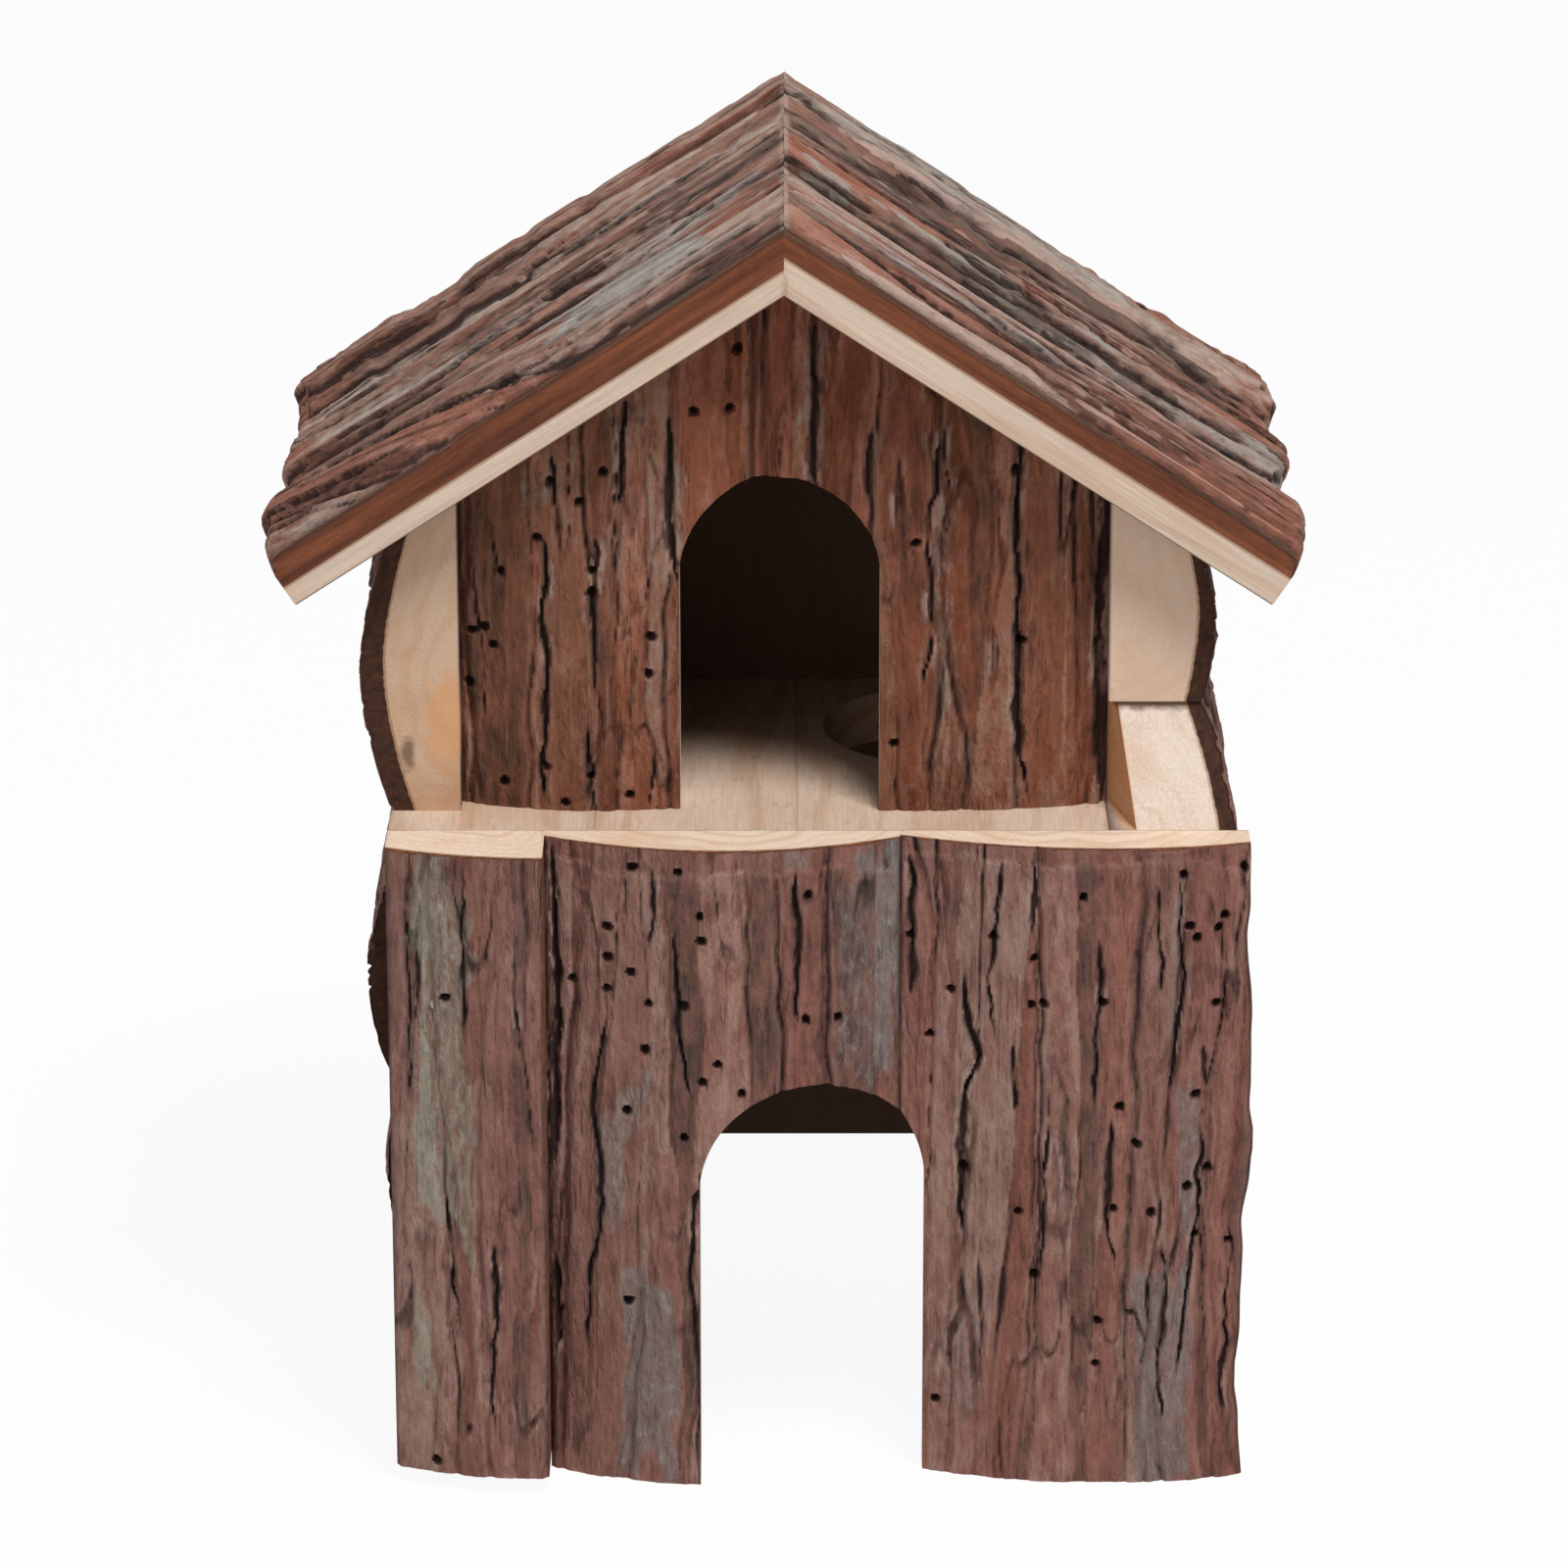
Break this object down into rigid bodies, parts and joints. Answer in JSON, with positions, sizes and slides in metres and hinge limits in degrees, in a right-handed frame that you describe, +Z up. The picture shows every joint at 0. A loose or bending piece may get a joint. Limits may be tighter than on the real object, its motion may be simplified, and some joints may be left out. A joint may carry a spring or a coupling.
{
  "type": "small animal log cabin",
  "caption": "Two-storey shelter for small pets, nailed up from half-logs with their bark on, with arched doorways, a balcony, a climbing hole and a pitched roof that lifts off.",
  "frame": {"origin": "on the ground, under the middle of the whole cabin's box", "axes": "+Z up, the front with its doorways looks along -Y, the ridge runs along Y at X = 0"},
  "size_m": [0.199, 0.1306, 0.2524],
  "materials": {
    "bark_half_log": "rough red-brown conifer bark on sawn pale softwood",
    "sawn_softwood": "bare fine-sawn softwood",
    "nail_steel": "bright drawn wire"
  },
  "bodies": {
    "house": {"front_slab_left": "bark_half_log", "front_slab_middle": "bark_half_log", "front_slab_right": "bark_half_log", "left_wall_bottom_slab": "bark_half_log", "left_wall_second_slab": "bark_half_log", "left_wall_third_slab": "bark_half_log", "left_wall_top_slab": "bark_half_log", "right_wall_bottom_slab": "bark_half_log", "right_wall_middle_slab": "bark_half_log", "right_wall_top_slab": "bark_half_log", "gable_slab_left": "bark_half_log", "gable_slab_right": "bark_half_log", "back_slab_left": "bark_half_log", "back_slab_middle": "bark_half_log", "back_slab_right": "bark_half_log", "floor_board_left": "sawn_softwood", "floor_board_middle": "sawn_softwood", "floor_board_right": "sawn_softwood", "front_panel_nails": "nail_steel", "left_wall_nails": "nail_steel", "right_wall_nails": "nail_steel", "back_wall_nails": "nail_steel", "floor_nails": "nail_steel", "gable_nails": "nail_steel"},
    "roof": {"roof_slab_left_front": "bark_half_log", "roof_slab_left_middle": "bark_half_log", "roof_slab_left_rear": "bark_half_log", "roof_slab_right_front": "bark_half_log", "roof_slab_right_middle": "bark_half_log", "roof_slab_right_rear": "bark_half_log", "ridge_batten": "sawn_softwood", "left_eave_batten": "sawn_softwood", "right_eave_batten": "sawn_softwood", "roof_nails_left": "nail_steel", "roof_nails_right": "nail_steel"}
  },
  "joints": [
    {"name": "roof_lift", "type": "slide", "parent": "house", "child": "roof", "axis": [0, 0, 1], "range_m": [0, 0.09]}
  ]
}
